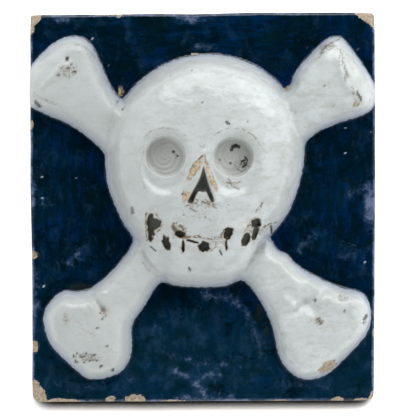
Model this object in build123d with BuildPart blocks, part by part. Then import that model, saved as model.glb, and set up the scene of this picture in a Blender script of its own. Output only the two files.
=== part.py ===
"""Majolica relief tile: one slab of fired clay with a skull over crossed bones.

The tile lies on its back. X runs to the right of the picture, Y towards the top of
the skull and Z out of the face. The origin is the middle of the flat back.
Everything is modelled in one lump of clay, so it is one solid.
All sizes are in millimetres.
"""

from build123d import *

import math
import os

# Slab, cut by hand, so its corners are not quite square
tile_width = 201.4
tile_height = 227.4
slab_thickness = 22.0
top_slope = 1.9  # how much lower the top left corner lies than the top right one
bottom_slope = 1.0  # how much higher the bottom right corner lies than the left one
left_lean = 1.4  # how far the left side leans in towards the bottom
right_lean = 1.3  # how far the bulging right side falls back at the bottom
right_fall = 0.5  # and at the top
sharp_corner_radius = 1.5
worn_corner_radius = 5.0
arris_radius = 1.6
back_bevel = 0.8

# Chips knocked off the corners: (corner, length across, length along, depth)
corner_chips = (
    ((-100.7, 111.8), 6.0, -7.6, 3.2),
    ((100.2, 113.7), -13.5, -11.0, 4.2),
    ((-99.3, -113.7), 8.7, 13.6, 4.0),
    ((99.4, -112.7), -4.4, 6.4, 2.4),
)

# Flakes off the edges: (x, y, radius) of round bites centred on the arris
edge_flakes = (
    (-101.2, -27.7, 3.0),
    (-100.8, -80.6, 4.2),
    (-40.5, -116.6, 5.0),
)

# Arches stand across the skull and the bones, and a ruled skin is drawn over them.
# The curve of each is pulled by two pairs of poles, placed by these numbers:
wall_slope = 2.2  # the foot of the arch rises this steeply
shoulder_lift = 1.1  # height of the shoulder pole, as a share of the rise
back_spread = 1.1  # reach of the back pole, as a share of the half-width
skin_strips = 2  # strips of skin from one arch to the next

# Skull, chin to crown: (y, half-width to the left, half-width to the right, rise)
skull_axis_x = 1.3
skull_arches = (
    (-46.2, 12.5, 9.0, 4.0),
    (-43.5, 22.6, 18.0, 8.5),
    (-38.5, 30.3, 25.3, 16.4),
    (-29.0, 37.3, 31.0, 23.4),
    (-18.0, 42.0, 37.3, 27.2),
    (-6.0, 49.1, 46.7, 29.7),
    (6.0, 54.3, 52.5, 31.8),
    (19.0, 57.4, 56.2, 33.4),
    (32.2, 57.7, 57.7, 34.0),
    (46.2, 55.5, 56.4, 32.9),
    (58.2, 50.6, 52.2, 31.0),
    (68.0, 43.8, 45.9, 27.4),
    (76.0, 35.6, 38.2, 22.4),
    (82.0, 26.5, 29.6, 15.4),
    (86.6, 16.3, 19.6, 7.5),
    (89.2, 5.4, 8.9, 3.8),
)

# Bone ends, from a root hidden under the skull outwards along their axis:
# (distance from the root, half-width to the left, half-width to the right, rise)
bone_ends = {
    "top_left": {
        "root": (-15.7, 12.4),
        "heading": 136.2,
        "arches": (
            (36.0, 15.9, 16.1, 13.7),
            (55.0, 15.0, 14.0, 14.0),
            (68.0, 16.7, 15.9, 15.1),
            (80.0, 21.0, 20.6, 16.8),
            (90.0, 24.4, 24.6, 18.1),
            (97.0, 25.5, 25.2, 16.3),
            (103.0, 22.5, 22.5, 11.5),
            (108.5, 11.5, 13.5, 4.5),
        ),
    },
    "top_right": {
        "root": (8.7, 23.8),
        "heading": 34.8,
        "arches": (
            (36.0, 15.8, 18.6, 13.7),
            (54.0, 14.0, 17.0, 14.0),
            (66.0, 17.7, 17.9, 15.1),
            (78.0, 22.0, 21.2, 17.2),
            (88.0, 24.0, 24.0, 18.2),
            (95.0, 24.5, 23.0, 15.0),
            (99.5, 22.7, 19.2, 9.0),
            (102.6, 18.5, 10.5, 4.0),
        ),
    },
    "bottom_left": {
        "root": (-18.5, -19.6),
        "heading": -133.5,
        "arches": (
            (12.0, 11.2, 13.8, 12.6),
            (38.0, 14.8, 12.9, 13.5),
            (48.0, 16.3, 14.0, 13.7),
            (56.0, 21.7, 16.8, 15.6),
            (64.0, 28.5, 24.9, 17.4),
            (72.0, 31.2, 26.8, 18.0),
            (80.0, 29.6, 25.3, 16.8),
            (87.0, 25.0, 19.3, 12.4),
            (91.8, 17.0, 9.5, 4.5),
        ),
    },
    "bottom_right": {
        "root": (19.8, -20.2),
        "heading": -44.1,
        "arches": (
            (12.0, 13.3, 13.4, 12.6),
            (26.0, 15.0, 13.7, 13.1),
            (38.0, 15.2, 16.3, 13.5),
            (48.0, 18.1, 20.4, 13.9),
            (56.0, 20.6, 25.4, 15.3),
            (64.0, 24.4, 30.6, 17.2),
            (72.0, 28.8, 32.8, 18.0),
            (80.0, 28.2, 32.0, 16.9),
            (87.0, 22.7, 27.1, 12.3),
            (91.8, 14.0, 18.0, 4.5),
        ),
    },
}

# The relief is rooted in the slab and stays off its arris
relief_root = 4.0
relief_margin = 0.5

# Eye sockets, heights above the ground: a dish round a pit pressed with a round tool
socket_centres = ((-21.4, 29.2), (17.6, 28.7))
socket_pit_radius = 11.2
socket_pit_floor = 20.5
socket_dish_radius = 17.5
socket_dish_floor = 29.4
socket_dish_rim = 33.5
socket_chamfer = 1.4

# Nose: a raised bridge with an arrow-shaped hollow sunk into it
nose_tip = (0.5, 24.0)
nose_wing_y = 3.0
nose_wing_left = -9.2
nose_wing_right = 7.2
nose_foot_width = 4.4
nose_arch_top = (-0.6, 8.8)
nose_floor = 25.0
nose_round = 0.8
bridge_margin = 3.2
bridge_rise = 31.8
bridge_tilt = 4.0
bridge_draft = 35.0

# Gaps between the teeth, pressed along a smiling line:
# (x, y, long side, short side, turn in degrees)
tooth_gap_depth = 3.2
tooth_gaps = (
    (-30.4, -11.6, 14.6, 3.2, 91.0),
    (-27.6, -10.6, 6.2, 5.4, 60.0),
    (-21.0, -20.8, 8.2, 4.2, 104.0),
    (-13.8, -15.0, 6.8, 4.8, 12.0),
    (-11.4, -22.8, 7.0, 2.0, 92.0),
    (-6.0, -20.0, 7.8, 1.8, -12.0),
    (0.8, -23.0, 6.6, 6.0, 0.0),
    (14.4, -14.6, 7.4, 5.0, 68.0),
    (13.4, -21.8, 5.8, 1.8, 94.0),
    (24.8, -18.6, 7.2, 4.0, 76.0),
    (30.8, -8.8, 6.6, 5.6, 90.0),
    (30.2, -14.8, 7.4, 3.0, 74.0),
)

ground = Plane.XY.offset(slab_thickness)
above_all = 70.0  # an extrusion this long clears the whole relief


def outline(inset):
    """The slab seen from the front, drawn in by an inset on every side."""
    left, right = inset - tile_width / 2, tile_width / 2 - inset
    low, high = inset - tile_height / 2, tile_height / 2 - inset
    with BuildSketch() as face:
        with BuildLine():
            bottom = Line((left + left_lean, low), (right - right_lean, low + bottom_slope))
            right_side = ThreePointArc(bottom @ 1, (right, 0), (right - right_fall, high))
            top = Line(right_side @ 1, (left, high - top_slope))
            Line(top @ 1, bottom @ 0)
        make_face()
        worn = face.vertices().group_by(Axis.Y)[0]
        fillet(worn, worn_corner_radius)
        sharp = face.vertices().group_by(Axis.Y)[-1]
        fillet(sharp, sharp_corner_radius)
    return face.sketch


def arch(plane, left, right, rise):
    """A closed arch on an upright plane: two straight feet joined by one puffy curve."""
    shoulder = shoulder_lift * rise
    lean = shoulder / wall_slope
    top = 1.6 * rise - 0.5 * shoulder
    with BuildSketch(plane) as section:
        with BuildLine():
            right_foot = Line((right, -relief_root), (right, 0))
            back = Bezier(
                right_foot @ 1,
                (right - lean, shoulder),
                (back_spread * right, top),
                (-back_spread * left, top),
                (lean - left, shoulder),
                (-left, 0),
            )
            left_foot = Line(back @ 1, (-left, -relief_root))
            Line(left_foot @ 1, right_foot @ 0)
        make_face()
    return section.sketch


def fill_in(arches):
    """The given arches with more between them, read off a smooth curve through them."""
    last = len(arches) - 1
    rows = []
    for i in range(last):
        around = (arches[max(i - 1, 0)], arches[i], arches[i + 1], arches[min(i + 2, last)])
        for step in range(skin_strips):
            t = step / skin_strips
            weights = (
                (-t + 2 * t**2 - t**3) / 2,
                (2 - 5 * t**2 + 3 * t**3) / 2,
                (t + 4 * t**2 - 3 * t**3) / 2,
                (t**3 - t**2) / 2,
            )
            rows.append([sum(w * a[k] for w, a in zip(weights, around)) for k in range(4)])
    rows.append(arches[last])
    return rows


def skin(start, arches):
    """A solid skinned over arches at their distances ahead of a start plane."""
    sections = []
    for distance, left, right, rise in fill_in(arches):
        sections.append(arch(start.offset(-distance), left, right, rise))
    return loft(sections, ruled=True)


def skull_shape(inset):
    """The skull from chin to crown, drawn in by an inset."""
    across = Plane((skull_axis_x, 0, slab_thickness), x_dir=(1, 0, 0), z_dir=(0, -1, 0))
    arches = []
    for y, left, right, rise in skull_arches:
        arches.append((y, left - inset, right - inset, rise - inset))
    return skin(across, arches)


def bone_end(root, heading, arches):
    """One end of a bone with its knob, skinned along its heading."""
    turn = math.radians(heading)
    ahead = Vector(math.cos(turn), math.sin(turn), 0)
    to_the_right = ahead.cross(Vector(0, 0, 1))
    start = Plane((root[0], root[1], slab_thickness), x_dir=to_the_right, z_dir=-ahead)
    return skin(start, arches)


# Relief, trimmed to stay just inside the slab's arris
skull = skull_shape(0)
ends = [bone_end(**end_shape) for end_shape in bone_ends.values()]
with BuildPart() as relief:
    add(skull)
    add(ends)
    with BuildSketch(ground.offset(-relief_root)):
        add(outline(relief_margin))
    extrude(amount=above_all, mode=Mode.INTERSECT)

# Tooth gaps, slots that stop at the gum line
gum = skull_shape(tooth_gap_depth)
with BuildPart() as gaps:
    for x, y, long_side, short_side, turn in tooth_gaps:
        with BuildSketch(Plane((x, y, slab_thickness))):
            SlotOverall(long_side, short_side, rotation=turn)
        extrude(amount=above_all)
    add(gum, mode=Mode.SUBTRACT)

# Eye socket, turned round an upright axis
with BuildPart() as socket:
    with BuildSketch(Plane.XZ):
        with BuildLine():
            Polyline(
                (0, socket_pit_floor),
                (socket_pit_radius, socket_pit_floor),
                (socket_pit_radius, socket_dish_floor),
                (socket_dish_radius, socket_dish_rim),
                (socket_dish_radius, above_all),
                (0, above_all),
                close=True,
            )
        make_face()
    revolve(axis=Axis.Z)
    softened = socket.edges().group_by(Axis.Z)[:2]
    chamfer(softened[0] + softened[1], socket_chamfer)

# Chips and flakes, all starting from the top of the slab
with BuildPart() as damage:
    for (x, y), across, along, depth in corner_chips:
        broken = Wire.make_polygon(
            (
                (x + across, y, slab_thickness),
                (x, y + along, slab_thickness),
                (x, y, slab_thickness - depth),
            )
        )
        outwards = Vector(-1 / across, -1 / along, 1 / depth).normalized()
        add(Solid.extrude(Face(broken), outwards * depth))
    for x, y, radius in edge_flakes:
        with Locations((x, y, slab_thickness)):
            Sphere(radius)

# Tile
with BuildPart() as tile:
    add(outline(0))
    extrude(amount=slab_thickness)
    fillet(tile.edges().group_by(Axis.Z)[-1], arris_radius)
    chamfer(tile.edges().group_by(Axis.Z)[0], back_bevel)
    add(relief.part)

    # Bridge of the nose and its hollow
    with BuildSketch(ground.offset(bridge_rise).rotated((bridge_tilt, 0, 0))) as bridge:
        with BuildLine():
            Polyline(
                nose_tip,
                (nose_wing_left, nose_wing_y),
                (nose_wing_right, nose_wing_y),
                close=True,
            )
        make_face()
        offset(amount=bridge_margin)
    extrude(amount=-(bridge_rise - nose_floor), taper=-bridge_draft)
    with BuildSketch(ground.offset(nose_floor)) as hollow:
        with BuildLine():
            left_wing = (nose_wing_left + nose_foot_width, nose_wing_y)
            right_wing = (nose_wing_right - nose_foot_width, nose_wing_y)
            Polyline(
                nose_tip,
                (nose_wing_left, nose_wing_y),
                left_wing,
                nose_arch_top,
                right_wing,
                (nose_wing_right, nose_wing_y),
                close=True,
            )
        make_face()
        fillet(hollow.vertices(), nose_round)
    extrude(amount=above_all, mode=Mode.SUBTRACT)

    with Locations(*[(x, y, slab_thickness) for x, y in socket_centres]):
        add(socket.part, mode=Mode.SUBTRACT)
    add(gaps.part, mode=Mode.SUBTRACT)
    add(damage.part, mode=Mode.SUBTRACT)

tile.part.label = "tile"
os.makedirs("parts", exist_ok=True)
export_step(tile.part, "parts/tile.step")
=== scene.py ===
# %% [markdown]
# A majolica tile: a slab of buff clay with a skull and crossed bones in high relief. The
# potter cut the slab, built the relief on it in one lump of clay, fired it, dipped it in
# white tin glaze, and brushed cobalt blue round the relief before the second firing.
# Nothing moves. The CAD solid gives the size and the place of every form, and this scene
# gives the fired skin: soft uneven clay, thick glaze, brush strokes, pinholes, chips.

# %% Load the CAD model as a fixed frame
import math

import bpy
import numpy as np
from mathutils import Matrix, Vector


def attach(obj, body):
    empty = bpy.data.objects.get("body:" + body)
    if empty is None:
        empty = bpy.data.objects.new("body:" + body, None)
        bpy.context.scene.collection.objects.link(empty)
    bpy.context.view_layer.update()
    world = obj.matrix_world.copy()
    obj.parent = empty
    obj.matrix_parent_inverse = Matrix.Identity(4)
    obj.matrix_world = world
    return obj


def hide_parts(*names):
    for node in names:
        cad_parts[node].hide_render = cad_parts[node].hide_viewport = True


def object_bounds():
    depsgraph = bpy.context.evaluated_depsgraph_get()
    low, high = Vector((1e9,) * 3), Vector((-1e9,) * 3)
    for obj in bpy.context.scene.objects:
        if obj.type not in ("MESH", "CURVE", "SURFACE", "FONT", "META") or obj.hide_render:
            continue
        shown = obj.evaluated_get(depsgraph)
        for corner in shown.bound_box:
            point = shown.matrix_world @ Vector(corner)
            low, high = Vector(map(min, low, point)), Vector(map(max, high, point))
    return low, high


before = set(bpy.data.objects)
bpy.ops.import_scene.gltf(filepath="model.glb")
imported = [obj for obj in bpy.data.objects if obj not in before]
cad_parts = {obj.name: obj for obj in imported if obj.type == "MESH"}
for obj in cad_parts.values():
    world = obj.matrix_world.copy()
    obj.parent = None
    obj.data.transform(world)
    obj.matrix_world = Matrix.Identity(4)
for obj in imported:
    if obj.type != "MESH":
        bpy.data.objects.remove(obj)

cad_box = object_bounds()
print("CAD box in metres", [[round(v, 4) for v in corner] for corner in cad_box])

# %% [markdown]
# All shapes below are worked out in millimetres and turned into metres once, when the mesh
# is made. The driving sizes come from the frame, so the skin fits the solid it covers, and
# it keeps a hair's breadth inside it.

# %% Sizes taken from the frame
millimetres = 1000.0
hair = 0.05
low_corner, high_corner = (np.array(corner) * millimetres for corner in cad_box)
half_width = (high_corner[0] - low_corner[0]) / 2 - hair
half_height = (high_corner[1] - low_corner[1]) / 2 - hair
total_height = high_corner[2] - hair
relief_rise = 33.95
ground = total_height - relief_rise
print("tile", round(half_width * 2, 1), "by", round(half_height * 2, 1), "ground at", round(ground, 1))

# %% [markdown]
# Clay worked by hand has no sharp step and no true flat. A smooth step melts one level
# into the next. A lattice of random values, blended smoothly, gives the slow unevenness
# of a handmade surface. Each use names its own seed, so every run makes the same tile.


# %% Soft steps and slow unevenness
lattice_side = 128
lattice_shift = 512


def smoothstep(low, high, value):
    """0 below low, 1 above high, and 3t^2 - 2t^3 between them."""
    t = np.clip((value - low) / (high - low), 0, 1)
    return t * t * (3 - 2 * t)


def unevenness(x, y, size, seed):
    """Random field from -1 to 1: lattice values size mm apart, smoothly blended."""
    lattice = np.random.default_rng(seed).uniform(-1, 1, (lattice_side, lattice_side))
    u, v = x / size + lattice_shift, y / size + lattice_shift
    i, j = np.floor(u).astype(int) % lattice_side, np.floor(v).astype(int) % lattice_side
    next_i, next_j = (i + 1) % lattice_side, (j + 1) % lattice_side
    s, t = smoothstep(0, 1, u - np.floor(u)), smoothstep(0, 1, v - np.floor(v))
    near = lattice[i, j] * (1 - s) + lattice[next_i, j] * s
    far = lattice[i, next_j] * (1 - s) + lattice[next_i, next_j] * s
    return near * (1 - t) + far * t


print("a soft step reaches", float(smoothstep(0, 1, 0.25)), "a quarter of the way along")

# %% [markdown]
# A grid of lines covers the slab, closer together over the face, where the detail is
# fine, and at the rim, where the arris rounds over. A form is a height at each crossing.


# %% Lines of the grid
rim_width, rim_spacing, plain_spacing, face_spacing = 2.7, 0.45, 1.05, 0.5
face_left, face_right, face_low, face_high = -38, 40, -33, 47


def grid_lines(half_side, face_start, face_end):
    """Lines over rim, ground, face, ground and rim: each stretch is split evenly."""
    stops = [(-half_side, rim_spacing), (rim_width - half_side, plain_spacing), (face_start, face_spacing),
             (face_end, plain_spacing), (half_side - rim_width, rim_spacing), (half_side, 0)]
    lines = [
        np.linspace(start, end, max(1, round((end - start) / spacing)), endpoint=False)
        for (start, spacing), (end, _) in zip(stops[:-1], stops[1:])
    ]
    return np.concatenate(lines + [[half_side]])


plain_x, plain_y = np.meshgrid(
    grid_lines(half_width, face_left, face_right), grid_lines(half_height, face_low, face_high)
)
from_rim = np.minimum(half_width - np.abs(plain_x), half_height - np.abs(plain_y))
print("grid", plain_x.shape, "so", 2 * (plain_x.shape[0] - 1) * (plain_x.shape[1] - 1), "triangles on top")

# %% [markdown]
# The slab was cut with a wire or a knife, so no side is quite straight and no corner quite
# square. Both steps only slide the grid's points, so the skin stays whole.


# %% The slab's outline
corner_radii = {(-1, 1): 1.4, (1, 1): 1.6, (-1, -1): 5.0, (1, -1): 4.0}
side_waver = 0.2


def round_corners(x, y):
    """In a corner's square of side r, the ring at max(u, v) = m becomes an arc of radius m r."""
    x, y = x.copy(), y.copy()
    for (side, end), radius in corner_radii.items():
        u = (side * x - (half_width - radius)) / radius
        v = (end * y - (half_height - radius)) / radius
        corner = (u > 0) & (v > 0)
        shrink = np.maximum(u, v) / np.hypot(u, v).clip(1e-9)
        x = np.where(corner, side * (half_width - radius + u * shrink * radius), x)
        y = np.where(corner, end * (half_height - radius + v * shrink * radius), y)
    return x, y


def cut_by_hand(x, y):
    """Draws each side in by some tenths of a mm where the slab leans, bulges or wavers."""
    up, across = y / half_height, x / half_width
    waver_x = side_waver * (unevenness(x * 0, y, 17, 1) - 1) / 2
    waver_y = side_waver * (unevenness(x, y * 0, 19, 3) - 1) / 2
    left_in = 1.15 * smoothstep(0.3, -0.55, up)
    right_in = np.where(up > 0.3, 0.8, 0.5) * (up - 0.3) ** 2
    top_in = 0.8 * smoothstep(0.35, -0.15, across) + 0.6 * smoothstep(-0.3, -1, across)
    bottom_in = 0.5 * (1 + across)
    share_x, share_y = (1 + across) / 2, (1 + up) / 2
    new_x = x + left_in * (1 - share_x) - right_in * share_x + waver_x * across
    new_y = y + bottom_in * (1 - share_y) - top_in * share_y + waver_y * up
    return new_x, new_y


square_x, square_y = round_corners(plain_x, plain_y)
tile_x, tile_y = cut_by_hand(square_x, square_y)
print("top edge", round(float(np.ptp(tile_x[-1])), 1), "mm long")

# %% [markdown]
# A smooth curve through a few points draws a form's outline. The distance to it says how
# far inside each point lies, which drives both the height and the painting.


# %% Outlines and melted joins
def smooth_max(a, b, blend):
    """The larger of two fields, with the crease rounded over a height of blend."""
    overlap = np.maximum(blend - np.abs(a - b), 0) / blend
    return np.maximum(a, b) + overlap**2 * blend / 4


def smooth_min(a, b, blend):
    """The smaller of two fields, with the crease rounded over a height of blend."""
    return -smooth_max(-a, -b, blend)


def smooth_curve(points, steps, closed):
    """A Catmull-Rom curve: cubic pieces through the points, with matched directions."""
    points = np.array(points, dtype=float)
    if closed:
        around = [np.roll(points, shift, axis=0) for shift in (1, 0, -1, -2)]
    else:
        padded = np.vstack([2 * points[0] - points[1], points, 2 * points[-1] - points[-2]])
        around = [padded[k : len(points) - 1 + k] for k in range(4)]
    a, b, c, d = (part[:, None, :] for part in around)
    t = np.linspace(0, 1, steps, endpoint=False)[None, :, None]
    curve = b + t * (c - a) / 2 + t**2 * (a - 2.5 * b + 2 * c - d / 2)
    curve = curve + t**3 * (1.5 * (b - c) + (d - a) / 2)
    return curve.reshape(-1, points.shape[1])


def distance_inside(x, y, loop):
    """Distance to a closed line, positive inside it by the even-odd crossing rule."""
    nearest = np.full(x.shape, np.inf)
    inside = np.zeros(x.shape, dtype=bool)
    for (ax, ay), (bx, by) in zip(loop, np.roll(loop, -1, axis=0)):
        dx, dy = bx - ax, by - ay
        t = np.clip(((x - ax) * dx + (y - ay) * dy) / (dx * dx + dy * dy + 1e-12), 0, 1)
        nearest = np.minimum(nearest, np.hypot(x - ax - t * dx, y - ay - t * dy))
        if ay != by:
            crosses = ((ay > y) != (by > y)) & (x < ax + (y - ay) * dx / dy)
            inside ^= crosses
    return np.where(inside, nearest, -nearest)


print("two forms 1 mm high melt to", float(smooth_max(1.0, 1.0, 2.0)), "mm")

# %% [markdown]
# The skull was pressed up as one rounded mass. Its crown is nearly round, and its cheeks
# narrow to a blunt jaw. The height follows a full dome: flat over the face, then rolling
# over to a steep wall.


# %% The skull's dome
crown_centre, crown_radius, dome_centre_y = (1.3, 32.2), 57.6, 24.0
skull_rise, jaw_drop = 33.4, 0.14
skull_wall, skull_shoulder = 2.8, 6.0
crown_turn = np.radians(np.arange(-6, 187, 12))
crown_reach = crown_radius - (0.1 + 1.3 * np.cos(2 * (crown_turn - 2.1)))
crown = np.column_stack(
    [crown_centre[0] + crown_reach * np.cos(crown_turn), crown_centre[1] + crown_reach * np.sin(crown_turn)]
)
jaw = [
    (-55.9, 15.9), (-53.5, 7.2), (-49.9, -1.6), (-45.8, -10.0), (-41.7, -16.1), (-38.6, -23.0),
    (-35.0, -31.0), (-30.5, -36.8), (-24.9, -41.3), (-17.4, -45.2), (-1.6, -46.6), (12.9, -45.8),
    (20.5, -42.8), (27.4, -37.6), (32.1, -29.5), (35.6, -21.9), (39.7, -16.7), (46.6, -8.0),
    (50.4, -2.0), (53.6, 5.4), (56.7, 15.0),
]
skull_loop = smooth_curve(np.vstack([crown, jaw]), 8, closed=True)


def skull_height(x, y, inside):
    """Dome: rise (1 - r^3)^0.4, r being the share of the way to the outline, under a steep wall."""
    middle = (crown_centre[0], dome_centre_y)
    turn = np.arctan2(skull_loop[:, 1] - middle[1], skull_loop[:, 0] - middle[0])
    reach = np.hypot(skull_loop[:, 0] - middle[0], skull_loop[:, 1] - middle[1])
    order = np.argsort(turn)
    point_turn = np.arctan2(y - middle[1], x - middle[0])
    limit = np.interp(point_turn, turn[order], reach[order], period=2 * math.pi)
    share = np.clip(np.hypot(x - middle[0], y - middle[1]) / limit, 0, 1)
    rise = skull_rise * (1 - jaw_drop * smoothstep(25, -45, y))
    dome = rise * (1 - share**3) ** 0.4
    return smooth_min(dome, skull_wall * inside, skull_shoulder)


skull_inside = distance_inside(tile_x, tile_y, skull_loop)
skull = skull_height(tile_x, tile_y, skull_inside)
print("skull stands", round(float(skull.max()), 1), "mm high")

# %% [markdown]
# Two bones cross behind the skull, and four ends show. The upper ends swell to a crest
# and then slope off; the lower ends are broad and flat, with two lobes. Each is drawn
# along its own axis by stations: (distance along, half-width left, half-width right,
# height). The seam is the width of the join to the skull.

# %% Stations of the four bones
bones = {
    "top_left": {
        "root": (-15.7, 12.4),
        "heading": 136.2,
        "seam": 1.6,
        "stations": [
            (20, 15.0, 15.0, 12.5), (45, 14.6, 14.8, 13.0), (55, 15.0, 14.0, 13.2), (62, 15.6, 14.4, 13.6),
            (69, 17.0, 16.2, 14.3), (75, 19.0, 18.6, 15.1), (81, 21.4, 21.1, 15.9), (87, 23.4, 23.6, 16.6),
            (93, 25.3, 25.3, 17.0), (98, 25.4, 25.0, 14.6), (102, 23.4, 22.8, 12.3),
            (105.5, 18.6, 19.2, 10.0), (108, 12.8, 14.5, 8.0), (109.8, 4.5, 6.0, 6.0),
        ],
    },
    "top_right": {
        "root": (8.7, 23.8),
        "heading": 34.8,
        "seam": 1.6,
        "stations": [
            (20, 15.0, 17.0, 12.5), (45, 14.3, 17.4, 13.0), (56, 14.1, 17.0, 13.2), (62, 15.2, 17.2, 13.8),
            (67, 18.4, 18.2, 14.5), (73, 20.8, 19.5, 15.4), (79, 22.3, 21.6, 16.3), (85, 23.6, 23.4, 17.0),
            (91, 24.4, 24.2, 16.6), (96, 24.4, 22.4, 13.6), (100, 22.6, 18.8, 10.8),
            (102.3, 19.6, 13.8, 8.2), (103.2, 10.0, 5.0, 7.0),
        ],
    },
    "bottom_left": {
        "root": (-18.5, -19.6),
        "heading": -133.5,
        "seam": 3.4,
        "stations": [
            (10, 12.4, 13.6, 12.0), (24, 12.1, 13.6, 12.3), (32, 13.5, 13.1, 12.6), (40, 15.2, 13.0, 12.8),
            (47, 16.1, 13.9, 12.8), (52, 18.0, 14.8, 13.6), (56, 21.7, 16.8, 15.0), (60, 25.5, 20.4, 16.2),
            (64, 28.6, 25.0, 16.8), (69, 30.7, 26.6, 17.0), (75, 31.3, 26.7, 16.6), (80, 29.6, 25.3, 15.8),
            (85, 26.6, 21.9, 14.0), (89, 23.2, 16.0, 12.0), (91.6, 19.6, 10.8, 10.0), (92.7, 12.0, 5.0, 8.5),
        ],
    },
    "bottom_right": {
        "root": (19.8, -20.2),
        "heading": -44.1,
        "seam": 3.4,
        "stations": [
            (10, 12.6, 13.2, 12.0), (20, 13.3, 13.2, 12.2), (26, 15.1, 13.7, 12.4), (33, 14.7, 15.0, 12.6),
            (40, 15.6, 17.0, 12.8), (47, 17.8, 20.0, 13.0), (53, 19.6, 23.3, 13.8), (59, 21.9, 27.6, 15.2),
            (65, 25.0, 31.1, 16.4), (71, 28.5, 32.7, 17.0), (76, 29.4, 32.7, 16.8), (81, 27.7, 31.7, 15.8),
            (85, 24.8, 29.1, 14.2), (88.5, 20.8, 25.2, 12.4), (91, 15.8, 20.0, 10.4), (92.4, 8.0, 11.5, 8.5),
        ],
    },
}
print(len(bones), "bone ends,", sum(len(bone["stations"]) for bone in bones.values()), "stations")


# %% The four bone ends
bone_roll, bone_crowning, bone_spread = 13, 0.8, 18
bone_wall, bone_shoulder = 3.0, 7.0


def along_and_across(x, y, centre_x, centre_y, turn):
    """A point's place along and across a direction, turned by so many degrees, from a centre."""
    cosine, sine = math.cos(math.radians(turn)), math.sin(math.radians(turn))
    off_x, off_y = x - centre_x, y - centre_y
    return off_x * cosine + off_y * sine, off_y * cosine - off_x * sine


def bone_height(forward, leftward, inside, bone):
    """Station height times (1 - (1 - d/13)^2.5)^0.4, d being the distance inside, under a wall."""
    stations = smooth_curve(bone["stations"], 8, closed=False)
    back = np.interp(forward, stations[:, 0], stations[:, 3])
    rounding = (1 - (1 - np.clip(inside / bone_roll, 0, 1)) ** 2.5) ** 0.4
    middle = np.interp(forward, stations[:, 0], (stations[:, 1] - stations[:, 2]) / 2)
    crowning = bone_crowning * np.clip(1 - ((leftward - middle) / bone_spread) ** 2, -1, 1)
    return smooth_min(back * rounding + crowning * rounding, bone_wall * inside, bone_shoulder)


bone_fields = {}
for bone_name, bone in bones.items():
    station = np.array(bone["stations"])
    left_side = station[:, :2]
    right_side = np.column_stack([station[:, 0], -station[:, 2]])[::-1]
    loop = smooth_curve(np.vstack([left_side, right_side]), 6, closed=True)
    forward, leftward = along_and_across(tile_x, tile_y, *bone["root"], bone["heading"])
    inside = distance_inside(forward, leftward, loop)
    height = bone_height(forward, leftward, inside, bone)
    bone_fields[bone_name] = {"forward": forward, "leftward": leftward, "inside": inside, "height": height}
    print(bone_name, "stands", round(float(height.max()), 1), "mm high")

# %% [markdown]
# Where the heads of the lower bones were pressed onto their shafts a crease runs across,
# and a shallow valley parts each head into two lobes.


# %% Creases and lobes on the lower bones
def bump_at(value, middle, half_thick):
    """A bell-shaped ridge, e^(-(d / half_thick)^2), d being the distance from its middle."""
    return np.exp(-(((value - middle) / half_thick) ** 2))


step_depth, left_parting, right_parting, neck_depth = 1.6, 1.5, 2.2, 0.7
field = bone_fields["bottom_left"]
step_window = smoothstep(2, -2, field["leftward"]) * smoothstep(-15, -10, field["leftward"])
field["height"] -= step_depth * bump_at(field["forward"], 56.0, 1.6) * step_window
parting = bump_at(field["leftward"], 2, 5) * smoothstep(50, 58, field["forward"])
field["height"] -= left_parting * parting * smoothstep(78, 60, field["forward"])

field = bone_fields["bottom_right"]
parting = bump_at(field["leftward"], 2.5, 4) * smoothstep(46, 53, field["forward"])
parting_depth = right_parting * parting * smoothstep(68, 55, field["forward"])
field["height"] -= parting_depth
pressed_neck = bump_at(field["forward"], 47, 2.2) * smoothstep(13, 6, np.abs(field["leftward"] - 3))
field["height"] -= neck_depth * pressed_neck
print("the lobes are parted by up to", round(float(parting_depth.max()), 1), "mm")

# %% [markdown]
# Skull and bones were pinched together while soft, so they meet in a rounded seam. The
# relief then meets the ground in a small hollow foot, where the glaze pooled.

# %% Join the relief
outline_blend, foot_blend, small_lumps, broad_lumps = 3.0, 1.8, 0.28, 0.3
relief = skull
relief_inside = skull_inside
for bone_name, field in bone_fields.items():
    relief = smooth_max(relief, field["height"], bones[bone_name]["seam"])
    relief_inside = smooth_max(relief_inside, field["inside"], outline_blend)
relief = smooth_max(relief, np.zeros_like(relief), foot_blend)
surface = ground + relief
surface += small_lumps * unevenness(tile_x, tile_y, 9, 11) + broad_lumps * unevenness(tile_x, tile_y, 23, 12)
print("relief covers", round(100 * float(np.mean(relief_inside > 0))), "% of the grid")

# %% [markdown]
# The clay was pushed about with fingers. Short soft ridges and valleys run over it, each
# a bell-shaped fold along a chain of straight stretches.


# %% Finger marks
def distance_to_line(x, y, start, end):
    """Distance to a straight stretch, and how far along it the nearest point is, 0 to 1."""
    dx, dy = end[0] - start[0], end[1] - start[1]
    t = np.clip(((x - start[0]) * dx + (y - start[1]) * dy) / (dx * dx + dy * dy), 0, 1)
    return np.hypot(x - start[0] - t * dx, y - start[1] - t * dy), t


def distance_to_chain(points_along):
    """Distance of the skin's points to a chain: the least distance to any of its stretches."""
    stretches = zip(points_along, points_along[1:])
    return np.min([distance_to_line(tile_x, tile_y, start, end)[0] for start, end in stretches], axis=0)


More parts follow.
